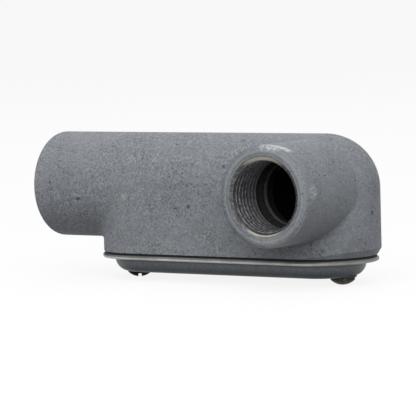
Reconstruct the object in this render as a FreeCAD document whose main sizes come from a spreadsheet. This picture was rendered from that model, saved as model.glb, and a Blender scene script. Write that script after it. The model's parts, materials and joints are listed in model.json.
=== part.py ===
"""Side-outlet conduit body for 3/4 in threaded rigid conduit, millimetres.

The origin is the centre of the end hub's mouth. +X runs along the body, the side hub points
along -Y near the far end, and +Z is the round back, so the cover closes the underside. With
the cover towards you and the end hub down, the side hub is on the left. Its mirror image is
the other hand of the LL and LR pair.
"""
import FreeCAD
import Part
import math
import os
import Sketcher

DRIVING_SIZES = [
    # casting: outside
    ("back_dia", 36.6, "round back, end hub and width across the lower walls"),
    ("overall_length", 127.3, "end hub mouth to far end of the back"),
    ("end_hub_length", 21.4, "end hub mouth to the near end wall below it"),
    ("walls_below_back", 3.85, "straight wall from the back's lowest point to the flange face"),
    ("flange_set_back", 1.5, "flange face's far end, back from the far end of the back"),
    ("flange_taper_height", 2.4, "height over which the far wall draws in to the flange"),
    ("side_hub_step", 1.4, "how far the side hub's radius is under the back's"),
    ("side_hub_reach", 38.15, "body centre line to the side hub's mouth"),
    ("end_rim_round", 1.95, "rounding of the end hub's outer rim"),
    ("side_rim_round", 1.35, "rounding of the side hub's outer rim"),
    ("hub_root_fillet", 3.5, "casting fillet between end hub and near wall"),
    ("side_root_fillet", 2.5, "casting fillet round the side hub's root"),
    # casting: inside
    ("wall", 3.3, "casting wall"),
    ("lip_width", 3.6, "inward lip at each end of the cover opening"),
    ("lip_thickness", 2.6, "thickness of that lip"),
    ("thread_root_dia", 26.1, "tapped hub bore at the thread roots"),
    ("thread_depth", 14.5, "tapped depth, eight threads at 14 to the inch"),
    ("mouth_chamfer", 0.25, "lead-in at the hub mouth"),
    ("bushing_lead", 1.6, "shoulder between thread and bushing"),
    ("bushing_dia", 20.8, "smallest bore, at the crown of the integral bushing"),
    ("bushing_length", 3.8, "length of the rounded bushing"),
    ("bushing_crown", 0.8, "height of the bushing's crown"),
    # gasket
    ("gasket_thickness", 0.8, "neoprene sheet, squeezed"),
    ("gasket_inset", 0.3, "gasket edge back from the flange edge"),
    ("gasket_tab", 5.0, "gasket beyond each screw, towards the window"),
    ("gasket_seat", 0.4, "gasket edge inside the cavity wall"),
    ("gasket_corner", 3.0, "corner radius of the gasket's window"),
    # cover
    ("cover_sheet", 1.4, "steel sheet"),
    ("cover_overhang", 0.4, "cover rim beyond the flange edge"),
    ("cover_rim_width", 4.2, "flat rim outside the dome"),
    ("cover_rim_round", 0.6, "rounded edge of the rim"),
    ("cover_dome_depth", 5.05, "dome below the rim"),
    ("cover_dome_round", 4.9, "outer bend radius of the dome"),
    ("cover_bend", 0.8, "inside bend between rim and dome"),
    ("seat_dia", 9.4, "flat pressed seat under each screw head"),
    ("screw_hole_dia", 4.8, "screw holes in cover and gasket"),
    # cover screws, number 8-32
    ("screw_set_in", 10.8, "screw axis in from the end of the flange"),
    ("screw_dia", 4.1, "screw shank"),
    ("screw_length", 15.9, "below the head"),
    ("head_dia", 8.2, "screw head"),
    ("head_height", 2.6, "screw head at its crown"),
    ("head_edge", 0.9, "straight edge of the head"),
    ("slot_width", 1.2, "screwdriver slot"),
    ("slot_depth", 1.3, "depth of that slot"),
    ("screw_tip_chamfer", 0.6, "chamfer at the screw's tip"),
    ("head_gap", 0.03, "running gap under the head"),
    ("hub_end_slot_angle", 34.0, "turn of the hub end screw's slot"),
    ("far_end_slot_angle", -52.0, "turn of the far end screw's slot"),
    # wedge nuts
    ("nut_width", 12.0, "across the nut"),
    ("nut_tail", 4.6, "screw axis to the nut's inner side"),
    ("nut_thickness", 3.2, "nut above the lip"),
    ("nut_wedge_drop", 1.2, "thinning of the nose at its tip"),
    ("nut_neck_width", 8.0, "neck that stands beside the lip"),
    ("nut_neck_play", 1.0, "neck to the lip's edge"),
    ("nut_neck_lift", 0.4, "neck above the gasket"),
    ("nut_wall_play", 0.4, "nose to the end wall"),
    ("nut_lip_gap", 0.05, "nose above the lip"),
    ("thread_clearance", 0.06, "radial clearance of the screw in the nut"),
]

doc = FreeCAD.newDocument("ConduitBody")
sheet = doc.addObject("Spreadsheet::Sheet", "Sizes")
for row, (alias, value, meaning) in enumerate(DRIVING_SIZES, start=1):
    sheet.set(f"A{row}", alias)
    sheet.set(f"B{row}", str(value))
    sheet.set(f"C{row}", meaning)
    sheet.setAlias(f"B{row}", alias)
doc.recompute()

# Places worked out from the driving sizes, as expressions on the sheet.
BACK_RADIUS = "(Sizes.back_dia / 2)"
CAVITY_RADIUS = f"({BACK_RADIUS} - Sizes.wall)"
SIDE_HUB_RADIUS = f"({BACK_RADIUS} - Sizes.side_hub_step)"
FLANGE_DEPTH = f"({BACK_RADIUS} + Sizes.walls_below_back)"
NEAR_CENTRE = f"(Sizes.end_hub_length + {BACK_RADIUS})"
FAR_CENTRE = f"(Sizes.overall_length - {BACK_RADIUS})"
FLANGE_END = "(Sizes.overall_length - Sizes.flange_set_back)"
FLANGE_FAR_CENTRE = f"({FLANGE_END} - {BACK_RADIUS})"
HUB_END_SCREW_X = "(Sizes.end_hub_length + Sizes.screw_set_in)"
FAR_END_SCREW_X = f"({FLANGE_END} - Sizes.screw_set_in)"
LIP_TOP = f"({FLANGE_DEPTH} - Sizes.lip_thickness)"
COVER_FACE = f"({FLANGE_DEPTH} + Sizes.gasket_thickness)"
COVER_HEIGHT = "(Sizes.cover_sheet + Sizes.cover_dome_depth)"
COVER_RADIUS = f"({BACK_RADIUS} + Sizes.cover_overhang)"
DOME_RADIUS = f"({COVER_RADIUS} - Sizes.cover_rim_width)"

START, END, CENTRE = range(1, 4)
ORIGIN = (-1, 1)
X_AXIS, Y_AXIS = range(-1, -3, -1)


def new_body(name):
    """An empty PartDesign body whose label names its file."""
    body = doc.addObject("PartDesign::Body", name)
    body.Label = name
    return body


def new_sketch(body, name, plane, shift=None):
    """A sketch on one of the body's own origin planes, moved along its normal by shift."""
    sketch = body.newObject("Sketcher::SketchObject", name)
    support = next(item for item in body.Origin.OriginFeatures if item.Role == plane)
    sketch.AttachmentSupport = (support, [""])
    sketch.MapMode = "FlatFace"
    if shift:
        sketch.setExpression("AttachmentOffset.Base.z", shift)
    return sketch


def number(sketch, expression):
    """The present value of an expression."""
    value = sketch.evalExpression(expression)
    return float(getattr(value, "Value", value))


def bind(sketch, constraint, expression):
    """Add one dimension and tie it to an expression."""
    index = sketch.addConstraint(constraint)
    sketch.setExpression(f"Constraints[{index}]", expression)


def place_point(sketch, geometry, point, across, along):
    """Hold a point at two expressions, or on an axis where one of them is 0."""
    for kind, axis, expression in (("DistanceX", Y_AXIS, across), ("DistanceY", X_AXIS, along)):
        if expression == "0":
            sketch.addConstraint(Sketcher.Constraint("PointOnObject", geometry, point, axis))
        else:
            size = number(sketch, expression)
            bind(sketch, Sketcher.Constraint(kind, *ORIGIN, geometry, point, size), expression)


def draw_circle(sketch, across, along, radius):
    """A circle with its centre and radius tied to expressions."""
    centre = FreeCAD.Vector(number(sketch, across), number(sketch, along), 0)
    size = number(sketch, radius)
    circle = sketch.addGeometry(Part.Circle(centre, FreeCAD.Vector(0, 0, 1), size))
    place_point(sketch, circle, CENTRE, across, along)
    bind(sketch, Sketcher.Constraint("Radius", circle, size), radius)


def draw_stadium(sketch, near, far, radius):
    """Two half circles on the X axis joined by straight sides."""
    x1, x2, size = (number(sketch, expression) for expression in (near, far, radius))
    up = FreeCAD.Vector(0, 0, 1)
    quarter = math.pi / 2
    left = Part.ArcOfCircle(Part.Circle(FreeCAD.Vector(x1, 0, 0), up, size), quarter, 3 * quarter)
    right = Part.ArcOfCircle(Part.Circle(FreeCAD.Vector(x2, 0, 0), up, size), -quarter, quarter)
    bottom = Part.LineSegment(FreeCAD.Vector(x1, -size, 0), FreeCAD.Vector(x2, -size, 0))
    top = Part.LineSegment(FreeCAD.Vector(x2, size, 0), FreeCAD.Vector(x1, size, 0))
    first = sketch.addGeometry([left, bottom, right, top])[0]
    for side in range(4):
        following = first + (side + 1) % 4
        sketch.addConstraint(Sketcher.Constraint("Tangent", first + side, END, following, START))
    sketch.addConstraint(Sketcher.Constraint("Equal", first, first + 2))
    place_point(sketch, first, CENTRE, near, "0")
    place_point(sketch, first + 2, CENTRE, far, "0")
    bind(sketch, Sketcher.Constraint("Radius", first, size), radius)


def draw_outline(sketch, corners, arcs=None):
    """A closed outline through corners given as pairs of expressions.

    arcs maps the number of a side to (radius, turn): that side becomes an arc, which bulges
    to the left of its direction of travel when turn is -1 and to the right when it is 1.
    """
    arcs = arcs or {}
    points = [FreeCAD.Vector(number(sketch, x), number(sketch, y), 0) for x, y in corners]
    ends = []
    for side, begin in enumerate(points):
        finish = points[(side + 1) % len(points)]
        if side not in arcs:
            geometry = sketch.addGeometry(Part.LineSegment(begin, finish))
            ends.append((geometry, START, END))
            continue
        radius, turn = arcs[side]
        size = number(sketch, radius)
        chord = finish - begin
        to_left = FreeCAD.Vector(-chord.y, chord.x, 0).normalize()
        drop = math.sqrt(max(size**2 - (chord.Length / 2) ** 2, 0))
        centre = (begin + finish) * 0.5 + to_left * (drop * turn)
        circle = Part.Circle(centre, FreeCAD.Vector(0, 0, 1), size)
        first, last = (begin, finish) if turn > 0 else (finish, begin)
        angles = [math.atan2((p - centre).y, (p - centre).x) for p in (first, last)]
        if angles[1] < angles[0]:
            angles[1] += 2 * math.pi
        geometry = sketch.addGeometry(Part.ArcOfCircle(circle, *angles))
        ends.append((geometry, START, END) if turn > 0 else (geometry, END, START))
        bind(sketch, Sketcher.Constraint("Radius", geometry, size), radius)
    for side, (geometry, _, finish) in enumerate(ends):
        following, begin, _ = ends[(side + 1) % len(ends)]
        sketch.addConstraint(Sketcher.Constraint("Coincident", geometry, finish, following, begin))
    for (geometry, begin, _), (x, y) in zip(ends, corners):
        place_point(sketch, geometry, begin, x, y)


def extrude(body, kind, name, sketch, length, reverse=False):
    """A Pad or a Pocket of a sketch, to a length given as an expression."""
    feature = body.newObject(f"PartDesign::{kind}", name)
    feature.Profile = sketch
    feature.Type = "Length"
    feature.setExpression("Length", length)
    feature.Reversed = reverse
    feature.Refine = True
    finish_feature(feature)
    return feature


def turn(body, kind, name, sketch, axis, angle=360.0):
    """A Revolution or a Groove of a sketch about one of its own axes."""
    feature = body.newObject(f"PartDesign::{kind}", name)
    feature.Profile = sketch
    feature.ReferenceAxis = (sketch, [axis])
    feature.Angle = angle
    feature.Midplane = angle < 360.0
    feature.Refine = True
    finish_feature(feature)
    return feature


def round_edges(body, name, wanted, radius):
    """A fillet on every edge of the body so far whose sample points all pass the test."""
    base = body.Tip
    names = []
    for index, edge in enumerate(base.Shape.Edges, start=1):
        first, last = edge.ParameterRange
        samples = [edge.valueAt(first + (last - first) * share) for share in (0.1, 0.35, 0.6, 0.9)]
        if all(wanted(point) for point in samples):
            names.append(f"Edge{index}")
    if not names:
        raise RuntimeError(f"{name}: no edge to round")
    feature = body.newObject("PartDesign::Fillet", name)
    feature.Base = (base, names)
    feature.setExpression("Radius", radius)
    feature.Refine = True
    finish_feature(feature)


def finish_feature(feature):
    """Recompute at once, and stop if the feature failed."""
    doc.recompute()
    if "Invalid" in feature.State or "Error" in feature.State or feature.Shape.isNull():
        raise RuntimeError(f"{feature.Name} failed")


def near(value, target, tolerance=0.01):
    """True if two lengths agree."""
    return abs(value - target) < tolerance


def run_section(body, kind, name, radius, depth):
    """Add or cut the body's own section, a round back on straight sides, between the ends."""
    sketch = new_sketch(body, f"{name}_section", "YZ_Plane", NEAR_CENTRE)
    corners = [
        (radius, f"-{depth}"),
        (radius, "0"),
        ("0", radius),
        (f"-{radius}", "0"),
        (f"-{radius}", f"-{depth}"),
    ]
    draw_outline(sketch, corners, {1: (radius, 1), 2: (radius, 1)})
    far = FAR_CENTRE if kind == "Pad" else FLANGE_FAR_CENTRE
    extrude(body, kind, name, sketch, f"{far} - {NEAR_CENTRE}", reverse=kind == "Pocket")


def turned_end(body, kind, name, centre, radius, depth, side):
    """Add or cut a half round end: half of that section, turned about the upright at centre."""
    sketch = new_sketch(body, f"{name}_section", "XZ_Plane")
    edge = f"{centre} {side} {radius}"
    if side == "+":
        corners = [(centre, f"-{depth}"), (edge, f"-{depth}"), (edge, "0"), (centre, radius)]
        arcs = {2: (radius, 1)}
    else:
        corners = [(centre, radius), (edge, "0"), (edge, f"-{depth}"), (centre, f"-{depth}")]
        arcs = {0: (radius, 1)}
    draw_outline(sketch, corners, arcs)
    add_upright_axis(sketch, centre, f"-{depth}", radius)
    turn(body, kind, name, sketch, "Axis0", 180.0)


def add_upright_axis(sketch, across, low, high):
    """A construction line to turn about."""
    x, y1, y2 = (number(sketch, expression) for expression in (across, low, high))
    line = Part.LineSegment(FreeCAD.Vector(x, y1, 0), FreeCAD.Vector(x, y2, 0))
    axis = sketch.addGeometry(line, True)
    place_point(sketch, axis, START, across, low)
    place_point(sketch, axis, END, across, high)


def hub_bore(body, name, plane, mouth, inner_end, shift=None):
    """Cut one hub: lead-in, tapped bore, shoulder, rounded integral bushing, way in."""
    root = "Sizes.thread_root_dia / 2"
    flare = "(Sizes.bushing_dia / 2 + Sizes.bushing_crown)"
    shoulder = f"({mouth} + Sizes.thread_depth)"
    bushing = f"({shoulder} + Sizes.bushing_lead)"
    corners = [
        (mouth, "0"),
        (mouth, f"{root} + Sizes.mouth_chamfer"),
        (f"{mouth} + Sizes.mouth_chamfer", root),
        (shoulder, root),
        (bushing, flare),
        (f"{bushing} + Sizes.bushing_length", flare),
        (inner_end, flare),
        (inner_end, "0"),
    ]
    half = "(Sizes.bushing_length / 2)"
    crown = f"({half} * {half} + Sizes.bushing_crown ^ 2) / (2 * Sizes.bushing_crown)"
    sketch = new_sketch(body, f"{name}_profile", plane, shift)
    draw_outline(sketch, corners, {4: (crown, 1)})
    turn(body, "Groove", name, sketch, "H_Axis")


def make_casting():
    """The malleable iron casting: round back, two tapped hubs, cavity and cover flange."""
    body = new_body("conduit_body")
    back_radius = sheet.back_dia / 2
    side_radius = back_radius - sheet.side_hub_step
    far_centre = sheet.overall_length - back_radius
    near_centre = sheet.end_hub_length + back_radius

    run_section(body, "Pad", "back_and_walls", BACK_RADIUS, FLANGE_DEPTH)
    turned_end(body, "Revolution", "far_end", FAR_CENTRE, BACK_RADIUS, FLANGE_DEPTH, "+")

    sketch = new_sketch(body, "near_wall_plan", "XY_Plane")
    draw_circle(sketch, NEAR_CENTRE, "0", BACK_RADIUS)
    extrude(body, "Pad", "near_wall", sketch, FLANGE_DEPTH, reverse=True)

    sketch = new_sketch(body, "end_hub_section", "YZ_Plane")
    draw_circle(sketch, "0", "0", BACK_RADIUS)
    extrude(body, "Pad", "end_hub", sketch, NEAR_CENTRE)

    def on_hub_root(point):
        across = math.hypot(point.y, point.z)
        return near(across, back_radius) and 1 < point.x < near_centre + 0.5 and point.z < 0.1

    root_fillet = "min(Sizes.hub_root_fillet; Sizes.walls_below_back * 0.92)"
    round_edges(body, "end_hub_root", on_hub_root, root_fillet)

    sketch = new_sketch(body, "side_hub_section", "XZ_Plane")
    draw_circle(sketch, FAR_CENTRE, "0", SIDE_HUB_RADIUS)
    extrude(body, "Pad", "side_hub", sketch, "Sizes.side_hub_reach")

    def on_side_hub(point):
        return near(math.hypot(point.x - far_centre, point.z), side_radius)

    def on_side_root(point):
        return on_side_hub(point) and point.y > 0.5 - sheet.side_hub_reach

    round_edges(body, "side_hub_root", on_side_root, "Sizes.side_root_fillet")

    sketch = new_sketch(body, "far_taper_section", "XZ_Plane")
    clear = f"(2 * Sizes.overall_length - {FLANGE_END})"
    taper_top = f"Sizes.flange_taper_height - {FLANGE_DEPTH}"
    floor = f"-{FLANGE_DEPTH}"
    draw_outline(sketch, [(FLANGE_END, floor), (clear, floor), ("Sizes.overall_length", taper_top)])
    add_upright_axis(sketch, FLANGE_FAR_CENTRE, floor, taper_top)
    turn(body, "Groove", "far_wall_taper", sketch, "Axis0", 180.0)

    def on_end_rim(point):
        return near(point.x, 0) and near(math.hypot(point.y, point.z), back_radius)

    def on_side_rim(point):
        return on_side_hub(point) and near(point.y, -sheet.side_hub_reach)

    round_edges(body, "end_hub_rim", on_end_rim, "Sizes.end_rim_round")
    round_edges(body, "side_hub_rim", on_side_rim, "Sizes.side_rim_round")

    run_section(body, "Pocket", "cavity", CAVITY_RADIUS, LIP_TOP)
    turned_end(body, "Groove", "cavity_near", NEAR_CENTRE, CAVITY_RADIUS, LIP_TOP, "-")
    turned_end(body, "Groove", "cavity_far", FLANGE_FAR_CENTRE, CAVITY_RADIUS, LIP_TOP, "+")

    sketch = new_sketch(body, "opening_plan", "XY_Plane")
    near_end = f"{NEAR_CENTRE} + Sizes.lip_width"
    far_end = f"{FLANGE_FAR_CENTRE} - Sizes.lip_width"
    draw_stadium(sketch, near_end, far_end, CAVITY_RADIUS)
    extrude(body, "Pocket", "cover_opening", sketch, FLANGE_DEPTH)

    hub_bore(body, "end_hub_bore", "XZ_Plane", "0", NEAR_CENTRE)
    hub_bore(body, "side_hub_bore", "YZ_Plane", "-Sizes.side_hub_reach", "0", FAR_CENTRE)
    return body


def make_gasket():
    """The neoprene gasket: an obround ring with a tab and a hole for each screw."""
    body = new_body("gasket")
    body.setExpression("Placement.Base.z", f"-{FLANGE_DEPTH}")

    sketch = new_sketch(body, "gasket_outline", "XY_Plane")
    draw_stadium(sketch, NEAR_CENTRE, FLANGE_FAR_CENTRE, f"{BACK_RADIUS} - Sizes.gasket_inset")
    extrude(body, "Pad", "gasket_sheet", sketch, "Sizes.gasket_thickness", reverse=True)

    sketch = new_sketch(body, "window_outline", "XY_Plane")
    left = f"{HUB_END_SCREW_X} + Sizes.gasket_tab"
    right = f"{FAR_END_SCREW_X} - Sizes.gasket_tab"
    side = f"({CAVITY_RADIUS} - Sizes.gasket_seat)"
    corners = [(left, f"-{side}"), (right, f"-{side}"), (right, side), (left, side)]
    draw_outline(sketch, corners)
    extrude(body, "Pocket", "window", sketch, "Sizes.gasket_thickness")

    left_x = number(sketch, left)
    right_x = number(sketch, right)
    half = number(sketch, side)

    def on_window_corner(point):
        at_side = near(abs(point.y), half)
        return at_side and (near(point.x, left_x) or near(point.x, right_x))

    round_edges(body, "window_corners", on_window_corner, "Sizes.gasket_corner")

    sketch = new_sketch(body, "gasket_holes_plan", "XY_Plane")
    for screw_x in (HUB_END_SCREW_X, FAR_END_SCREW_X):
        draw_circle(sketch, screw_x, "0", "Sizes.screw_hole_dia / 2")
    extrude(body, "Pocket", "gasket_holes", sketch, "Sizes.gasket_thickness")
    return body


def make_cover():
    """The stamped steel cover: flat rim with a rounded edge, shallow dome, two screw seats."""
    body = new_body("cover")
    body.setExpression("Placement.Base.z", f"-{COVER_FACE}")
    ends = (NEAR_CENTRE, FLANGE_FAR_CENTRE)
    screws = (HUB_END_SCREW_X, FAR_END_SCREW_X)

    sketch = new_sketch(body, "rim_outline", "XY_Plane")
    draw_stadium(sketch, *ends, COVER_RADIUS)
    extrude(body, "Pad", "rim", sketch, "Sizes.cover_sheet", reverse=True)
    sheet_thickness = sheet.cover_sheet
    height = sheet.cover_sheet + sheet.cover_dome_depth
    rim_radius = number(sketch, COVER_RADIUS)
    dome_radius = number(sketch, DOME_RADIUS)
    first, last = (number(sketch, end) for end in ends)

    def from_spine(point):
        return math.hypot(point.x - min(max(point.x, first), last), point.y)

    def on_rim_edge(point):
        return near(from_spine(point), rim_radius)

    def on_dome_bottom(point):
        return near(from_spine(point), dome_radius) and near(point.z, -height)

    def on_dome_root(point):
        return near(from_spine(point), dome_radius) and near(point.z, -sheet_thickness)

    round_edges(body, "rim_edge", on_rim_edge, "Sizes.cover_rim_round")

    sketch = new_sketch(body, "dome_outline", "XY_Plane")
    draw_stadium(sketch, *ends, DOME_RADIUS)
    extrude(body, "Pad", "dome", sketch, COVER_HEIGHT, reverse=True)

    sketch = new_sketch(body, "dome_inside_outline", "XY_Plane")
    inside = f"({DOME_RADIUS} - Sizes.cover_sheet)"
    draw_stadium(sketch, *ends, inside)
    extrude(body, "Pocket", "dome_inside", sketch, "Sizes.cover_dome_depth")
    inside_radius = number(sketch, inside)

    def on_inside_bottom(point):
        return near(from_spine(point), inside_radius) and near(point.z, sheet_thickness - height)

    dome_round = "min(Sizes.cover_dome_round; Sizes.cover_dome_depth - 0.1)"
    round_edges(body, "dome_inside_bend", on_inside_bottom, f"{dome_round} - Sizes.cover_sheet")
    round_edges(body, "dome_bend", on_dome_bottom, dome_round)
    round_edges(body, "rim_bend", on_dome_root, "Sizes.cover_bend")

    sketch = new_sketch(body, "seats_plan", "XY_Plane", f"-{COVER_HEIGHT}")
    for screw_x in screws:
        draw_circle(sketch, screw_x, "0", "Sizes.seat_dia / 2")
    extrude(body, "Pad", "screw_seats", sketch, "Sizes.cover_sheet")

    sketch = new_sketch(body, "seats_inside_plan", "XY_Plane")
    for screw_x in screws:
        draw_circle(sketch, screw_x, "0", "Sizes.seat_dia / 2 - Sizes.cover_sheet")
    extrude(body, "Pocket", "seats_inside", sketch, "Sizes.cover_dome_depth")

    sketch = new_sketch(body, "cover_holes_plan", "XY_Plane")
    for screw_x in screws:
        draw_circle(sketch, screw_x, "0", "Sizes.screw_hole_dia / 2")
    extrude(body, "Pocket", "cover_holes", sketch, COVER_HEIGHT)
    return body


def make_screw(name, screw_x, slot_angle):
    """A slotted pan head cover screw, turned in one piece, standing on its head."""
    body = new_body(name)
    body.setExpression("Placement.Base.x", screw_x)
    body.setExpression("Placement.Base.z", f"-({COVER_FACE} + {COVER_HEIGHT} + Sizes.head_gap)")
    body.setExpression("Placement.Rotation.Angle", slot_angle)

    head = "Sizes.head_dia / 2"
    shank = "(Sizes.screw_dia / 2)"
    rise = "(Sizes.head_height - Sizes.head_edge)"
    crown = f"(({head}) ^ 2 + {rise} ^ 2) / (2 * {rise})"
    corners = [
        ("0", "-Sizes.head_height"),
        (head, "-Sizes.head_edge"),
        (head, "0"),
        (shank, "0"),
        (shank, "Sizes.screw_length - Sizes.screw_tip_chamfer"),
        (f"{shank} - Sizes.screw_tip_chamfer", "Sizes.screw_length"),
        ("0", "Sizes.screw_length"),
    ]
    sketch = new_sketch(body, f"{name}_profile", "XZ_Plane")
    draw_outline(sketch, corners, {0: (crown, 1)})
    turn(body, "Revolution", f"{name}_turned", sketch, "V_Axis")

    sketch = new_sketch(body, f"{name}_slot_section", "XZ_Plane", f"-{head} - 1")
    half = "(Sizes.slot_width / 2)"
    floor = "Sizes.slot_depth - Sizes.head_height"
    below = "-Sizes.head_height - 1"
    corners = [(f"-{half}", below), (half, below), (half, floor), (f"-{half}", floor)]
    draw_outline(sketch, corners)
    extrude(body, "Pocket", f"{name}_slot", sketch, "Sizes.head_dia + 2", reverse=True)
    return body


def make_wedge_nut(name, screw_x, end_centre, facing):
    """A wedge nut: a tapped block whose thinned nose reaches over the lip to the end wall.

    It is drawn with the screw axis at its origin, the lip's top at zero height and the end
    wall on its +X side; facing is the turn that points that side at its own end wall.
    """
    body = new_body(name)
    body.setExpression("Placement.Base.x", screw_x)
    body.setExpression("Placement.Base.z", f"-{LIP_TOP}")
    body.Placement.Rotation = FreeCAD.Rotation(FreeCAD.Vector(0, 0, 1), facing)
    set_back = f"({screw_x} - {end_centre})" if facing == 0 else f"({end_centre} - {screw_x})"
    nose_radius = f"({CAVITY_RADIUS} - Sizes.nut_wall_play)"
    half = "(Sizes.nut_width / 2)"
    shoulder = f"sqrt({nose_radius} ^ 2 - {half} ^ 2) - {set_back}"

    sketch = new_sketch(body, f"{name}_plan", "XY_Plane", "Sizes.nut_lip_gap")
    corners = [
        ("-Sizes.nut_tail", f"-{half}"),
        (shoulder, f"-{half}"),
        (shoulder, half),
        ("-Sizes.nut_tail", half),
    ]
    draw_outline(sketch, corners, {1: (nose_radius, 1)})
    extrude(body, "Pad", f"{name}_block", sketch, "Sizes.nut_thickness")

    sketch = new_sketch(body, f"{name}_wedge_section", "XZ_Plane", f"-{half} - 1")
    top = "(Sizes.nut_lip_gap + Sizes.nut_thickness)"
    start = "Sizes.screw_dia / 2 + Sizes.thread_clearance + 0.5"
    tip = f"{nose_radius} - {set_back} + 0.5"
    draw_outline(sketch, [(start, top), (tip, f"{top} - Sizes.nut_wedge_drop"), (tip, f"{top} + 1")])
    extrude(body, "Pocket", f"{name}_wedge", sketch, "Sizes.nut_width + 2", reverse=True)

    sketch = new_sketch(body, f"{name}_neck_plan", "XY_Plane", "Sizes.nut_lip_gap")
    lip_edge = f"({CAVITY_RADIUS} - {set_back} - Sizes.lip_width)"
    front = f"{lip_edge} - Sizes.nut_neck_play"
    side = "(Sizes.nut_neck_width / 2)"
    corners = [
        ("-Sizes.nut_tail", f"-{side}"),
        (front, f"-{side}"),
        (front, side),
        ("-Sizes.nut_tail", side),
    ]
    draw_outline(sketch, corners)
    neck = "Sizes.nut_lip_gap + Sizes.lip_thickness - Sizes.nut_neck_lift"
    extrude(body, "Pad", f"{name}_neck", sketch, neck, reverse=True)

    sketch = new_sketch(body, f"{name}_hole_plan", "XY_Plane", f"{top} + 1")
    draw_circle(sketch, "0", "0", "Sizes.screw_dia / 2 + Sizes.thread_clearance")
    through = "Sizes.nut_thickness + Sizes.lip_thickness + 2"
    extrude(body, "Pocket", f"{name}_hole", sketch, through)
    return body


sub_parts = [
    make_casting(),
    make_gasket(),
    make_cover(),
    make_screw("cover_screw_hub_end", HUB_END_SCREW_X, "Sizes.hub_end_slot_angle"),
    make_screw("cover_screw_far_end", FAR_END_SCREW_X, "Sizes.far_end_slot_angle"),
    make_wedge_nut("wedge_nut_hub_end", HUB_END_SCREW_X, NEAR_CENTRE, 180.0),
    make_wedge_nut("wedge_nut_far_end", FAR_END_SCREW_X, FLANGE_FAR_CENTRE, 0.0),
]
doc.recompute()

for item in doc.Objects:
    if "Invalid" in item.State or "Error" in item.State:
        raise RuntimeError(f"{item.Label} failed: {item.State}")

os.makedirs("parts", exist_ok=True)
for part in sub_parts:
    shape = part.Shape
    if shape.isNull() or not shape.isValid():
        raise RuntimeError(f"{part.Label} has no valid shape")
    box = shape.BoundBox
    print(f"{part.Label}: {len(shape.Solids)} solid, {shape.Volume:.1f} mm3,"
          f" x {box.XMin:.2f} to {box.XMax:.2f}, y {box.YMin:.2f} to {box.YMax:.2f},"
          f" z {box.ZMin:.2f} to {box.ZMax:.2f}")
    shape.exportStep(os.path.join("parts", f"{part.Label}.step"))
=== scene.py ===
"""Side-outlet conduit body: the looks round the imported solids.

The origin is the centre of the end hub's mouth, +X runs along the body, the side hub opens
along -Y and the round back is up, with the cover underneath. Meshes, lamps and the camera
are in metres. The places and sizes inside a material are in millimetres.
"""
import json
import math

import bmesh
import bpy
import numpy as np
from mathutils import Matrix, Vector


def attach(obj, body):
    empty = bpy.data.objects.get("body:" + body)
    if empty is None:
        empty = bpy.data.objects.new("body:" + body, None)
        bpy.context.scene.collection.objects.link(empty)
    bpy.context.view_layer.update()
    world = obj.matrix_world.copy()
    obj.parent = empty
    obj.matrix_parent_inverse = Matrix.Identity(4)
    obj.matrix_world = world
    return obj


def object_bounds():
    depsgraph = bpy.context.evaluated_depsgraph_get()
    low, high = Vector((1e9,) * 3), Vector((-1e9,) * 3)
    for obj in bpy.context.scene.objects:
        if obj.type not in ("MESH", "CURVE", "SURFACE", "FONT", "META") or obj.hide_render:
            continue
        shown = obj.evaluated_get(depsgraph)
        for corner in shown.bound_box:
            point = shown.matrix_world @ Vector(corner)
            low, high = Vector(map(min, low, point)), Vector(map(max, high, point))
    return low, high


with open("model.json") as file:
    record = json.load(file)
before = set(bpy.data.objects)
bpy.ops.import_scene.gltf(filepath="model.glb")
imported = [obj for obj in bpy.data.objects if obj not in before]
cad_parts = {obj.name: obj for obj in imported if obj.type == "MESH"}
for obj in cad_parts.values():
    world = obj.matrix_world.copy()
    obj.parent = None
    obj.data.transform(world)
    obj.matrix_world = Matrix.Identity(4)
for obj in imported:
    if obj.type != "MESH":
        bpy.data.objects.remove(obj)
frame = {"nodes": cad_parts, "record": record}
solid_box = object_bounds()


# The casting: one piece of malleable iron, poured in sand and dipped in aluminium-grey enamel.
# The skin keeps the sand's grain, with small dark pits. The hubs are bored and tapped after
# painting, so their mouths are bare; the side hub's rim carries a painted highlight, and the
# cavity and the bores' inner ends are darkened with painted shade.
def new_material(name, roughness, metallic, specular):
    """An empty principled material: its tree, its shader and the place in millimetres."""
    material = bpy.data.materials.new(name)
    material.use_nodes = True
    tree = material.node_tree
    shader = tree.nodes["Principled BSDF"]
    shader.inputs["Roughness"].default_value = roughness
    shader.inputs["Metallic"].default_value = metallic
    shader.inputs["Specular IOR Level"].default_value = specular
    place = tree.nodes.new("ShaderNodeTexCoord")
    millimetres = tree.nodes.new("ShaderNodeMapping")
    millimetres.inputs["Scale"].default_value = (1000.0, 1000.0, 1000.0)
    tree.links.new(place.outputs["Object"], millimetres.inputs["Vector"])
    return material, tree, shader, millimetres.outputs["Vector"]


def feed(tree, socket, value):
    """Link a socket to another, or set it to a number, a place or a red-green-blue colour."""
    if isinstance(value, bpy.types.NodeSocket):
        tree.links.new(value, socket)
    elif socket.type == "RGBA":
        socket.default_value = (*value, 1.0)
    else:
        socket.default_value = value


def noise(tree, place, per_mm, detail, rough, seed):
    """Smooth noise from 0 to 1, per_mm cells to the millimetre."""
    node = tree.nodes.new("ShaderNodeTexNoise")
    node.noise_dimensions = "4D"
    for label, value in (("Vector", place), ("W", seed), ("Scale", per_mm),
                         ("Detail", detail), ("Roughness", rough)):
        feed(tree, node.inputs[label], value)
    return node.outputs["Fac"]


def step(tree, value, low, high, new_low=0.0, new_high=1.0):
    """Map the range low to high smoothly to new_low to new_high, held at both ends."""
    node = tree.nodes.new("ShaderNodeMapRange")
    node.interpolation_type = "SMOOTHSTEP"
    for label, number in (("Value", value), ("From Min", low), ("From Max", high),
                          ("To Min", new_low), ("To Max", new_high)):
        feed(tree, node.inputs[label], number)
    return node.outputs["Result"]


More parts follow.
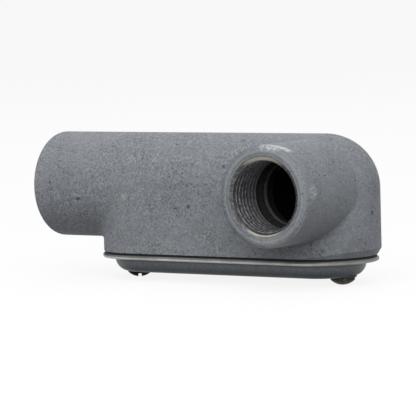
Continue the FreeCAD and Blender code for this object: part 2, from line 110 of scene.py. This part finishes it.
def maths(tree, kind, first, second=0.0, third=0.0):
    """One arithmetic step."""
    node = tree.nodes.new("ShaderNodeMath")
    node.operation = kind
    for socket, value in zip(node.inputs, (first, second, third)):
        feed(tree, socket, value)
    return node.outputs["Value"]


def blend(tree, share, first, second):
    """Two colours mixed: the first where share is 0, the second where it is 1."""
    node = tree.nodes.new("ShaderNodeMix")
    node.data_type = "RGBA"
    for label, value in (("Factor", share), ("A", first), ("B", second)):
        feed(tree, next(s for s in node.inputs if s.name == label and s.enabled), value)
    return next(s for s in node.outputs if s.enabled)


def coat(tree, under, share, strength, colour):
    """A colour laid over what is under it, as thick as share times strength."""
    return blend(tree, maths(tree, "MULTIPLY", share, strength), under, colour)


def bump(tree, shader, height, distance, strength):
    """Raise the surface by a height between 0 and 1, distance metres tall."""
    node = tree.nodes.new("ShaderNodeBump")
    for label, value in (("Distance", distance), ("Strength", strength), ("Height", height)):
        feed(tree, node.inputs[label], value)
    tree.links.new(node.outputs["Normal"], shader.inputs["Normal"])


def axes(tree, place):
    """The three numbers of a place."""
    node = tree.nodes.new("ShaderNodeSeparateXYZ")
    feed(tree, node.inputs["Vector"], place)
    return node.outputs["X"], node.outputs["Y"], node.outputs["Z"]


def length_of(tree, first, second):
    """The length of a line with these two legs: the root of the sum of their squares."""
    square = maths(tree, "MULTIPLY", first, first)
    return maths(tree, "SQRT", maths(tree, "MULTIPLY_ADD", second, second, square))


def all_of(tree, *shares):
    """The product of several shares."""
    result = shares[0]
    for share in shares[1:]:
        result = maths(tree, "MULTIPLY", result, share)
    return result


def any_of(tree, *shares):
    """The largest of several shares."""
    result = shares[0]
    for share in shares[1:]:
        result = maths(tree, "MAXIMUM", result, share)
    return result


def below(tree, value, full, none):
    """1 up to full, falling smoothly to 0 at none."""
    return step(tree, value, full, none, 1.0, 0.0)


def between(tree, value, start, full, last, end):
    """0 before start, 1 from full to last, and 0 again after end."""
    return all_of(tree, step(tree, value, start, full), below(tree, value, last, end))


def spots(tree, place, per_mm, size, share, seed):
    """Round spots: 1 inside a spot, 0 outside, in that share of the cells."""
    cells = tree.nodes.new("ShaderNodeTexVoronoi")
    cells.voronoi_dimensions = "4D"
    for label, value in (("Vector", place), ("W", seed), ("Scale", per_mm)):
        feed(tree, cells.inputs[label], value)
    chosen = below(tree, axes(tree, cells.outputs["Color"])[0], share, share + 0.02)
    return all_of(tree, below(tree, cells.outputs["Distance"], size * 0.45, size), chosen)


def near_point(tree, place, point, inner, outer):
    """1 within inner millimetres of a point, falling to 0 at outer."""
    node = tree.nodes.new("ShaderNodeVectorMath")
    node.operation = "DISTANCE"
    feed(tree, node.inputs[0], place)
    feed(tree, node.inputs[1], point)
    return below(tree, node.outputs["Value"], inner, outer)


def dress(material, *names):
    """Give the named solids a material."""
    for name in names:
        frame["nodes"][name].data.materials.clear()
        frame["nodes"][name].data.materials.append(material)


end_mount, side_mount = (mount["pos_m"] for mount in frame["record"]["mounts"])
enamel, tree, shader, place = new_material("cast_enamel", 0.55, 0.0, 0.35)
along, across, up = axes(tree, place)
far_axis, near_axis = side_mount[0] * 1000, 39.7
cavity_radius, bore_radius, mouth_radius = 16.6, 13.4, 13.7
from_side_axis = length_of(tree, maths(tree, "SUBTRACT", along, far_axis), up)
from_end_axis = length_of(tree, across, up)

# The cavity is a round-backed trough: its wall lies at one distance from a middle line.
past_far = maths(tree, "SUBTRACT", along, far_axis)
past_near = maths(tree, "SUBTRACT", near_axis, along)
in_plan = length_of(tree, any_of(tree, past_far, past_near, 0.0), across)
from_middle = length_of(tree, in_plan, maths(tree, "MAXIMUM", up, 0.0))
in_cavity = below(tree, from_middle, cavity_radius - 0.2, cavity_radius + 0.2)

# Each hub's bore, then where along it lie the shoulder, the crown of the bushing that guards
# the wires, the throat behind it and the end of the bore.
hub_bores = (
    (from_side_axis, across,
     (-24.4, -23.8), (-21.4, -20.9, -19.9, -19.4), (-18.6, -18.2), (-16.0, -15.0)),
    (from_end_axis, along,
     (13.8, 14.3), (16.7, 17.2, 18.2, 18.7), (19.6, 20.0), (30.0, 31.0)),
)
bores, crowns, painted_shoulder_shades, throats = [], [], [], []
for off_axis, depth, shoulder_start, crown_band, throat_start, bore_end in hub_bores:
    bore = all_of(tree, below(tree, off_axis, bore_radius - 0.05, bore_radius + 0.05),
                  below(tree, depth, *bore_end))
    ring = between(tree, depth, *crown_band)
    beside_ring = maths(tree, "SUBTRACT", 1.0, ring)
    bores.append(bore)
    crowns.append(ring)
    painted_shoulder_shades.append(all_of(tree, bore, step(tree, depth, *shoulder_start), beside_ring))
    throats.append(all_of(tree, bore, step(tree, depth, *throat_start)))
bored = any_of(tree, *bores)
painted_crown_highlight = all_of(tree, bored, any_of(tree, *crowns))
painted_shoulder_shade = any_of(tree, *painted_shoulder_shades)
painted_shade_inside = any_of(tree, in_cavity, *throats)

# The enamel: a leathery two-tone grain under broad clouds, quieter towards the far end.
leather = noise(tree, place, 1.5, 3.0, 0.68, 1.0)
fine = noise(tree, place, 2.4, 1.0, 0.5, 2.0)
mottle = noise(tree, place, 0.30, 3.0, 0.6, 5.0)
cloud = noise(tree, place, 0.05, 2.0, 0.5, 9.0)
dark_grain, light_grain = (0.178, 0.191, 0.210), (0.362, 0.382, 0.412)
quiet_grey, mottle_grey = (0.258, 0.273, 0.296), (0.235, 0.247, 0.264)
cloud_grey = (0.312, 0.326, 0.342)
grey = blend(tree, step(tree, leather, 0.40, 0.62), dark_grain, light_grain)
grey = blend(tree, step(tree, along, 82.0, 98.0, 0.0, 0.45), grey, quiet_grey)
grey = blend(tree, step(tree, mottle, 0.36, 0.66, 0.0, 0.5), grey, mottle_grey)
grey = blend(tree, step(tree, cloud, 0.35, 0.68, 0.0, 0.45), grey, cloud_grey)

# Sand pits, thick in some patches and thin in others, and five larger blow holes.
patches = step(tree, noise(tree, place, 0.13, 3.0, 0.65, 21.0), 0.44, 0.62)
patches = maths(tree, "MULTIPLY_ADD", patches, 0.7, 0.3)
crevice = all_of(tree, step(tree, noise(tree, place, 1.7, 2.0, 0.7, 41.0), 0.42, 0.35), patches)
blow_holes = (
    ((19.5, -17.9, -3.9), 0.35, 0.9),
    ((127.3, -0.7, -7.8), 0.4, 1.0),
    ((79.4, -16.5, 8.0), 0.3, 0.8),
    ((123.9, -38.1, 1.1), 0.2, 0.6),
    ((65.9, -18.3, -5.7), 0.3, 1.0),
)
pits = all_of(tree, spots(tree, place, 0.42, 0.26, 0.34, 3.0), patches)
pits = any_of(tree, pits, *(near_point(tree, place, *hole) for hole in blow_holes))
grey = blend(tree, crevice, grey, (0.062, 0.064, 0.068))
grey = coat(tree, grey, pits, 0.8, (0.050, 0.050, 0.052))

# A darker mottled patch at the far foot, an olive film low on the end hub, and one fleck of cream
# paint.
foot = near_point(tree, place, (124.5, -8.0, -20.5), 2.0, 8.0)
foot = all_of(tree, foot, step(tree, mottle, 0.36, 0.62, 0.2, 1.0))
grey = coat(tree, grey, foot, 0.4, (0.085, 0.086, 0.088))
olive = step(tree, noise(tree, place, 0.09, 2.0, 0.5, 33.0), 0.42, 0.66)
under_hub = step(tree, along, 21.0, 25.0, 1.0, 0.12)
olive = all_of(tree, olive, step(tree, up, -4.0, -15.0, 0.0, 0.8), under_hub)
grey = blend(tree, olive, grey, (0.195, 0.195, 0.160))
fleck = near_point(tree, place, (39.4, -18.3, -2.8), 0.6, 2.0)
grey = coat(tree, grey, all_of(tree, fleck, step(tree, fine, 0.52, 0.6)), 0.8, (0.60, 0.55, 0.42))

# The side hub's face: a turned groove and ridge round the mouth, painted darker and lighter as
# their shade and highlight, painted shade on the near side's edge, a painted patch of light from
# below at the foot, a painted highlight along the rim's crown, and one nick rubbed to bare metal.
scuff = noise(tree, place, 0.8, 3.0, 0.65, 31.0)
hub_face = all_of(tree, step(tree, across, -35.6, -36.6), step(tree, scuff, 0.3, 0.6, 0.6, 1.0))
# Painted shade in the turned groove and a painted highlight on the ridge beside it.
painted_groove_shade = all_of(tree, hub_face, between(tree, from_side_axis, 13.6, 13.8, 14.1, 14.5))
ridge = all_of(tree, hub_face, between(tree, from_side_axis, 14.4, 14.7, 15.0, 15.5))
shaded = all_of(tree, hub_face, step(tree, from_side_axis, 15.4, 16.2),
                step(tree, along, 106.0, 98.0))
grey = coat(tree, grey, painted_groove_shade, 0.45, (0.120, 0.126, 0.136))
grey = coat(tree, grey, ridge, 0.40, (0.400, 0.405, 0.415))
grey = coat(tree, grey, shaded, 0.35, (0.120, 0.126, 0.136))
# Painted light from below: a lighter patch at the foot of the hub face.
painted_floor_light = near_point(tree, place, (110.0, -37.6, -15.4), 3.0, 10.0)
grey = coat(tree, grey, painted_floor_light, 0.40, (0.420, 0.430, 0.425))
# Painted highlight along the rim's crown; the nick beside it is real wear.
rim_highlight_points = (
    ((109.0, -37.9, 16.3), 0.2, 1.8),
    ((111.6, -37.3, 16.4), 0.8, 2.2),
    ((114.0, -36.4, 16.1), 1.4, 2.8),
    ((116.2, -35.0, 15.3), 1.0, 2.6),
)
rim_highlight = any_of(tree, *(near_point(tree, place, *point) for point in rim_highlight_points))
rim_highlight = all_of(tree, rim_highlight, step(tree, scuff, 0.36, 0.56, 0.25, 1.0))
nick = near_point(tree, place, (125.6, -34.5, 1.5), 1.0, 3.4)
nick = all_of(tree, nick, step(tree, fine, 0.5, 0.58))
rim_highlight_and_nick = any_of(tree, rim_highlight, nick)
grey = coat(tree, grey, rim_highlight_and_nick, 0.85, (0.70, 0.71, 0.73))

# The bores: bare iron, the bushing's crown left a lighter grey as a painted highlight, painted
# shade on the shoulder, and painted shade in the cavity and throats behind them.
bare_iron = blend(tree, step(tree, scuff, 0.35, 0.65), (0.300, 0.292, 0.268), (0.150, 0.148, 0.144))
grey = blend(tree, bored, grey, bare_iron)
# Painted highlight on the bushing's crown, painted shade on the shoulder, and painted shade inside
# the cavity and throats.
grey = coat(tree, grey, painted_crown_highlight, 0.85, (0.105, 0.105, 0.116))
grey = coat(tree, grey, painted_shoulder_shade, 0.93, (0.010, 0.010, 0.011))
grey = blend(tree, painted_shade_inside, grey, (0.030, 0.030, 0.031))
feed(tree, shader.inputs["Base Color"], grey)
shine = step(tree, leather, 0.35, 0.65, 0.62, 0.48)
shine = maths(tree, "MULTIPLY_ADD", any_of(tree, rim_highlight_and_nick, bored), -0.16, shine)
feed(tree, shader.inputs["Roughness"], shine)
dull = maths(tree, "MULTIPLY_ADD", any_of(tree, painted_shoulder_shade, painted_shade_inside), -0.22, 0.23)
feed(tree, shader.inputs["Specular IOR Level"], dull)

# The relief: grain and pits everywhere, and lathe rings on a face that rounds off outwards.
skin = maths(tree, "MULTIPLY_ADD", leather, 0.8, maths(tree, "MULTIPLY", fine, 0.2))
skin = maths(tree, "MULTIPLY_ADD", any_of(tree, pits, crevice), -0.5, skin)
outward = maths(tree, "MAXIMUM", maths(tree, "SUBTRACT", from_side_axis, mouth_radius), 0.0)
turned = all_of(tree, step(tree, across, -37.2, -37.7), below(tree, from_side_axis, 16.4, 17.0))
rounding = maths(tree, "MULTIPLY", all_of(tree, outward, outward, turned), -0.24)
rings = maths(tree, "SINE", maths(tree, "MULTIPLY", from_side_axis, 3.9))
rounding = maths(tree, "MULTIPLY_ADD", all_of(tree, rings, turned), 0.09, rounding)
bump(tree, shader, maths(tree, "ADD", skin, rounding), 0.0005, 0.75)
dress(enamel, "conduit_body")


# The two tapped hubs: 3/4 in taper pipe thread, 14 to the inch, cut right-hand through the
# painted mouth with a wide lead-in. The crests are bright; the roots are dark with oil, and the
# flanks and the deeper turns are darkened with painted shade.
PITCH = 0.0254 / 14
THREAD_HEIGHT = 0.00112
ROOT_RADIUS = 0.01296
FIRST_DEPTH, LAST_DEPTH = 0.00018, 0.01445
LEAD_IN_RADIUS, LEAD_IN_SLOPE = 0.01303, 2.05
RUN_OUT_RADIUS, RUN_OUT_SLOPE = 0.01300, 1.6
OUTER_RADIUS = 0.01304
TAPER = 1 / 32
FLAT = 0.14
AROUND, ACROSS_PITCH = 120, 14


def tapped_wall(name, mouth, inward, right, upward):
    """The tapped wall of one hub as a closed sleeve.

    The wall is one strip wound round the axis: turn runs along the strip, share runs across
    one pitch, and depth = (turn + share) * pitch, held between the two ends. The radius is the
    taper's root radius less the thread's height times a flat-topped V of the phase across the
    pitch, never under the lead-in cone at the mouth or the run-out cone at the end. The last
    edge of each turn is the first edge of the next, and a plain outer wall closes the sleeve.
    """
    turns = math.ceil(LAST_DEPTH / PITCH) + 3
    turn = np.arange(AROUND * turns + 1)[:, None] / AROUND - 1.0
    share = np.arange(ACROSS_PITCH)[None, :] / ACROSS_PITCH
    depth = np.clip((turn + share) * PITCH, FIRST_DEPTH, LAST_DEPTH)
    phase = np.mod(depth / PITCH - turn, 1.0)
    ridge = np.clip((1 - np.abs(2 * phase - 1) - FLAT) / (1 - 2 * FLAT), 0, 1)
    lead_in = LEAD_IN_RADIUS - (depth - FIRST_DEPTH) * LEAD_IN_SLOPE
    run_out = RUN_OUT_RADIUS - (LAST_DEPTH - depth) * RUN_OUT_SLOPE
    radius = ROOT_RADIUS - depth * TAPER - THREAD_HEIGHT * ridge
    radius = np.maximum(radius, np.maximum(lead_in, run_out))
    angle = 2 * np.pi * (turn + 0 * share)
    outer_depth = np.repeat([[FIRST_DEPTH], [LAST_DEPTH]], AROUND, axis=1)
    outer_angle = np.repeat(2 * np.pi * np.arange(AROUND)[None, :] / AROUND, 2, axis=0)

    def points(depth, radius, angle):
        """Places at a depth along the axis and a radius at an angle round it."""
        parts = [depth[..., None] * np.array(inward)]
        parts.append((radius * np.sin(angle))[..., None] * np.array(right))
        parts.append((radius * np.cos(angle))[..., None] * np.array(upward))
        return (sum(parts) + np.array(mouth)).reshape(-1, 3)

    verts = np.vstack([
        points(depth, radius, angle),
        points(outer_depth, np.full_like(outer_depth, OUTER_RADIUS), outer_angle),
    ])
    count = AROUND * (turns - 1)
    s, k = np.meshgrid(np.arange(count), np.arange(ACROSS_PITCH), indexing="ij")
    here = s * ACROSS_PITCH + k
    above = np.where(k + 1 == ACROSS_PITCH, (s + AROUND) * ACROSS_PITCH, here + 1)
    strip = [here, here + ACROSS_PITCH, above + ACROSS_PITCH, above]
    near_rim = depth.size + np.arange(AROUND)
    near_next = np.roll(near_rim, -1)
    far_rim, far_next = near_rim + AROUND, near_next + AROUND
    i = np.arange(AROUND)
    j = (i + 1) % AROUND
    near_edge, near_edge_next = i * ACROSS_PITCH, j * ACROSS_PITCH
    far_edge, far_edge_next = (count + i) * ACROSS_PITCH, (count + j) * ACROSS_PITCH
    bands = [
        strip,
        [near_edge_next, near_edge, near_rim, near_next],
        [near_next, near_rim, far_rim, far_next],
        [far_next, far_rim, far_edge, far_edge_next],
    ]
    quads = np.vstack([np.stack(band, axis=-1).reshape(-1, 4) for band in bands])
    mesh = bpy.data.meshes.new(name)
    mesh.from_pydata(verts.tolist(), [], quads.tolist())
    crest = np.concatenate([ridge.reshape(-1), np.zeros(outer_depth.size)])
    layer = mesh.attributes.new("crest", "FLOAT", "POINT")
    layer.data.foreach_set("value", crest.astype(np.float32))
    work = bmesh.new()
    work.from_mesh(mesh)
    bmesh.ops.remove_doubles(work, verts=work.verts, dist=2e-7)
    bmesh.ops.dissolve_degenerate(work, edges=work.edges, dist=1e-7)
    loose = [v for v in work.verts if not v.link_faces]
    bmesh.ops.delete(work, geom=loose, context="VERTS")
    bmesh.ops.recalc_face_normals(work, faces=work.faces)
    work.to_mesh(mesh)
    work.free()
    mesh.shade_smooth()
    mesh.set_sharp_from_angle(angle=math.radians(50))
    sleeve = bpy.data.objects.new(name, mesh)
    bpy.context.scene.collection.objects.link(sleeve)
    sleeve.data.materials.append(cut_iron)
    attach(sleeve, "body")


cut_iron, tree, shader, place = new_material("cut_iron", 0.45, 0.3, 0.35)
crest = tree.nodes.new("ShaderNodeAttribute")
crest.attribute_name = "crest"
dirt = noise(tree, place, 1.2, 3.0, 0.65, 12.0)
along, across, up = axes(tree, place)
in_end_hub = step(tree, across, -20.0, -19.0)
# Painted shade: the thread darkens deeper into each bore.
painted_deep_end_shade = all_of(tree, in_end_hub, step(tree, along, 0.2, 14.0))
painted_deep_shade = any_of(tree, step(tree, across, -38.0, -24.0), painted_deep_end_shade)
lead_in_end = all_of(tree, in_end_hub, step(tree, along, 0.9, 0.6))
lead_in = any_of(tree, step(tree, across, -37.25, -37.5), lead_in_end)
bare = blend(tree, step(tree, dirt, 0.38, 0.62), (0.330, 0.330, 0.345), (0.070, 0.070, 0.075))
bare = coat(tree, bare, painted_deep_shade, 0.75, (0.060, 0.060, 0.062))
# Oil in the roots and painted shade on the flanks: all but the crests are darkened.
root_dirt_and_flank_shade = step(tree, crest.outputs["Fac"], 0.80, 1.0, 0.9, 0.0)
bare = blend(tree, root_dirt_and_flank_shade, bare, (0.012, 0.012, 0.014))
mottled = blend(tree, step(tree, dirt, 0.42, 0.55), (0.150, 0.150, 0.155), (0.060, 0.060, 0.064))
# The lead-in's cream at its top and foot is partly cream paint and partly a painted highlight.
cream_and_highlight_top_foot = step(tree, maths(tree, "ABSOLUTE", up), 9.4, 12.6)
bare = blend(tree, lead_in, bare, blend(tree, cream_and_highlight_top_foot, mottled, (0.430, 0.415, 0.355)))
feed(tree, shader.inputs["Base Color"], bare)
feed(tree, shader.inputs["Roughness"], step(tree, dirt, 0.3, 0.7, 0.36, 0.62))
bump(tree, shader, noise(tree, place, 3.0, 2.0, 0.5, 2.0), 0.00006, 0.5)
tapped_wall("end_hub_thread", end_mount, (1, 0, 0), (0, -1, 0), (0, 0, 1))
tapped_wall("side_hub_thread", side_mount, (0, 1, 0), (1, 0, 0), (0, 0, 1))


# The gasket: a flat ring die-cut from black neoprene sheet, squeezed between flange and cover.
# Only its cut edge shows, matt and a little dusty.
neoprene, tree, shader, place = new_material("neoprene", 0.8, 0.0, 0.3)
dust = step(tree, noise(tree, place, 0.7, 3.0, 0.6, 4.0), 0.5, 0.75, 0.0, 0.6)
black = blend(tree, dust, (0.008, 0.008, 0.008), (0.03, 0.03, 0.028))
feed(tree, shader.inputs["Base Color"], black)
bump(tree, shader, noise(tree, place, 2.5, 2.0, 0.5, 6.0), 0.0001, 0.4)
dress(neoprene, "gasket")


# The cover: sheet steel stamped to a shallow dome with a flat rim, and a thin blue-grey finish.
# The rim's rolled edge carries a painted highlight that dims into painted shade at the far end;
# the dome carries painted shade under the rim and towards its foot, and drawing the dome left
# faint brown marks.
finish, tree, shader, place = new_material("cover_finish", 0.38, 0.3, 0.4)
along, across, up = axes(tree, place)
grain = noise(tree, place, 1.4, 2.0, 0.5, 14.0)
patch = noise(tree, place, 0.12, 3.0, 0.6, 17.0)
blotch = step(tree, patch, 0.3, 0.7)
blue = blend(tree, step(tree, grain, 0.3, 0.7), (0.110, 0.123, 0.135), (0.168, 0.184, 0.198))
blue = blend(tree, step(tree, patch, 0.45, 0.75, 0.0, 0.5), blue, (0.150, 0.150, 0.138))
# Painted shade: the dome darkens towards its foot.
blue = blend(tree, step(tree, up, -25.6, -28.8, 0.0, 0.75), blue, (0.045, 0.049, 0.053))
# Painted shade: a dark band just under the rim.
blue = blend(tree, step(tree, up, -25.5, -24.7, 0.0, 0.7), blue, (0.050, 0.048, 0.045))
tarnish = blend(tree, blotch, (0.200, 0.197, 0.188), (0.130, 0.127, 0.120))
# The rolled edge's bright steel is a painted highlight.
painted_rim_highlight = blend(tree, blotch, (0.66, 0.67, 0.69), (0.44, 0.435, 0.42))
rim_highlight_band = all_of(tree, step(tree, up, -24.38, -24.22), step(tree, up, -23.45, -23.75))
# Painted shade: the highlight dims towards the far end.
rim_highlight_band = all_of(tree, rim_highlight_band, step(tree, along, 112.0, 124.0, 1.0, 0.35))
rim_steel_and_highlight = blend(tree, rim_highlight_band, tarnish, painted_rim_highlight)
feed(tree, shader.inputs["Base Color"], blend(tree, step(tree, up, -24.6, -24.4), blue, rim_steel_and_highlight))
feed(tree, shader.inputs["Roughness"], step(tree, grain, 0.3, 0.7, 0.34, 0.46))
feed(tree, shader.inputs["Specular IOR Level"], step(tree, up, -25.0, -28.4, 0.40, 0.03))
bump(tree, shader, maths(tree, "MULTIPLY_ADD", patch, 0.5, grain), 0.00006, 0.4)
dress(finish, "cover")


# The cover screws: slotted pan heads, number 8-32, steel darkened to an oily bronze brown.
# The one at the hub end is nearly black, and it has lost its shine.
bronze, tree, shader, place = new_material("screw_bronze", 0.42, 0.15, 0.15)
rub = noise(tree, place, 1.1, 3.0, 0.6, 8.0)
along, across, up = axes(tree, place)
brown = blend(tree, step(tree, rub, 0.35, 0.7), (0.026, 0.024, 0.016), (0.090, 0.082, 0.058))
brown = blend(tree, step(tree, along, 60.0, 90.0, 0.92, 0.0), brown, (0.004, 0.004, 0.003))
feed(tree, shader.inputs["Base Color"], brown)
feed(tree, shader.inputs["Specular IOR Level"], step(tree, along, 60.0, 90.0, 0.01, 0.15))
feed(tree, shader.inputs["Roughness"], step(tree, rub, 0.3, 0.7, 0.6, 0.42))
bump(tree, shader, noise(tree, place, 3.0, 2.0, 0.5, 3.0), 0.00005, 0.5)
dress(bronze, "cover_screw_hub_end", "cover_screw_far_end")


# The wedge nuts: pressed steel blocks inside, dull zinc, that grip the casting's lips.
# They lie out of sight behind the cover.
zinc, tree, shader, place = new_material("nut_zinc", 0.45, 0.8, 0.5)
bloom = noise(tree, place, 0.6, 3.0, 0.6, 18.0)
dull_zinc = blend(tree, step(tree, bloom, 0.3, 0.7), (0.36, 0.36, 0.35), (0.52, 0.52, 0.50))
feed(tree, shader.inputs["Base Color"], dull_zinc)
feed(tree, shader.inputs["Roughness"], step(tree, bloom, 0.3, 0.7, 0.38, 0.6))
bump(tree, shader, noise(tree, place, 2.0, 2.0, 0.5, 5.0), 0.00006, 0.5)
dress(zinc, "wedge_nut_hub_end", "wedge_nut_far_end")


# The floor: a wide pale sheet at the height of the screw heads, white to the eye.
# What it throws back up at the object is dimmer, as from a sheet of grey card.
HALF_SIDE = 20.0
FLOOR_GLOW = 0.87


def seen_rays(tree):
    """1 for camera, glossy and transmission rays, 0 for the light that falls on things."""
    rays = tree.nodes.new("ShaderNodeLightPath")
    kinds = ("Is Camera Ray", "Is Glossy Ray", "Is Transmission Ray")
    return any_of(tree, *(rays.outputs[kind] for kind in kinds))


corners = (np.array([(-1, -1), (1, -1), (1, 1), (-1, 1)]) * HALF_SIDE).tolist()
floor_mesh = bpy.data.meshes.new("floor")
floor_mesh.from_pydata([(x, y, solid_box[0].z) for x, y in corners], [], [(0, 1, 2, 3)])
floor = bpy.data.objects.new("floor", floor_mesh)
bpy.context.scene.collection.objects.link(floor)
card = bpy.data.materials.new("floor_card")
card.use_nodes = True
tree = card.node_tree
tree.nodes.remove(tree.nodes["Principled BSDF"])
seen = seen_rays(tree)
matt = tree.nodes.new("ShaderNodeBsdfDiffuse")
feed(tree, matt.inputs["Color"], blend(tree, seen, (0.17, 0.17, 0.17), (0.16, 0.16, 0.16)))
glow = tree.nodes.new("ShaderNodeEmission")
feed(tree, glow.inputs["Strength"], maths(tree, "MULTIPLY", seen, FLOOR_GLOW))
both = tree.nodes.new("ShaderNodeAddShader")
tree.links.new(matt.outputs["BSDF"], both.inputs[0])
tree.links.new(glow.outputs["Emission"], both.inputs[1])
tree.links.new(both.outputs["Shader"], tree.nodes["Material Output"].inputs["Surface"])
floor_mesh.materials.append(card)


# The light: an even grey surround, one large soft lamp above and a little left of the camera,
# a weak one low on the right, and a weak one behind the object.
world = bpy.data.worlds.new("surround")
bpy.context.scene.world = world
world.use_nodes = True
tree = world.node_tree
surround = blend(tree, seen_rays(tree), (0.40, 0.41, 0.43), (1.0, 1.0, 1.0))
feed(tree, tree.nodes["Background"].inputs["Color"], surround)
LAMP_AIM = (0.06, 0.0, 0.0)


def soft_lamp(name, place, size, power):
    """A square lamp that faces the middle of the body."""
    lamp = bpy.data.lights.new(name, "AREA")
    lamp.shape = "SQUARE"
    lamp.size = size
    lamp.energy = power
    holder = bpy.data.objects.new(name, lamp)
    bpy.context.scene.collection.objects.link(holder)
    holder.location = place
    ray = Vector(LAMP_AIM) - Vector(place)
    holder.rotation_euler = ray.to_track_quat("-Z", "Y").to_euler()


soft_lamp("key", (0.49, -0.93, 0.80), 1.3, 11.4)
soft_lamp("low", (0.95, -0.85, 0.12), 0.8, 2.2)
soft_lamp("back", (-0.5, 0.9, 1.2), 0.8, 2.2)


# The camera: in front and to the right, a little above the hubs, at one metre.
# Its long lens keeps the body's sides nearly parallel.
def aimed_camera(azimuth, elevation, roll, aim, distance, lens):
    """A camera that looks at a point from an azimuth and an elevation, in degrees."""
    data = bpy.data.cameras.new("camera")
    data.sensor_width = 36.0
    data.lens = lens
    data.clip_start = 0.01
    camera = bpy.data.objects.new("camera", data)
    bpy.context.scene.collection.objects.link(camera)
    turned = Matrix.Rotation(math.radians(azimuth), 4, "Z")
    turned = turned @ Matrix.Rotation(math.radians(90 - elevation), 4, "X")
    turned = turned @ Matrix.Rotation(math.radians(roll), 4, "Z")
    camera.matrix_world = Matrix.Translation(aim) @ turned @ Matrix.Translation((0, 0, distance))
    return camera


eye = aimed_camera(34.17, 4.43, -1.54, (0.06155, 0.0, -0.00759), 1.0, 252.69)
bpy.context.scene.camera = eye
bpy.context.scene.view_settings.view_transform = "Standard"
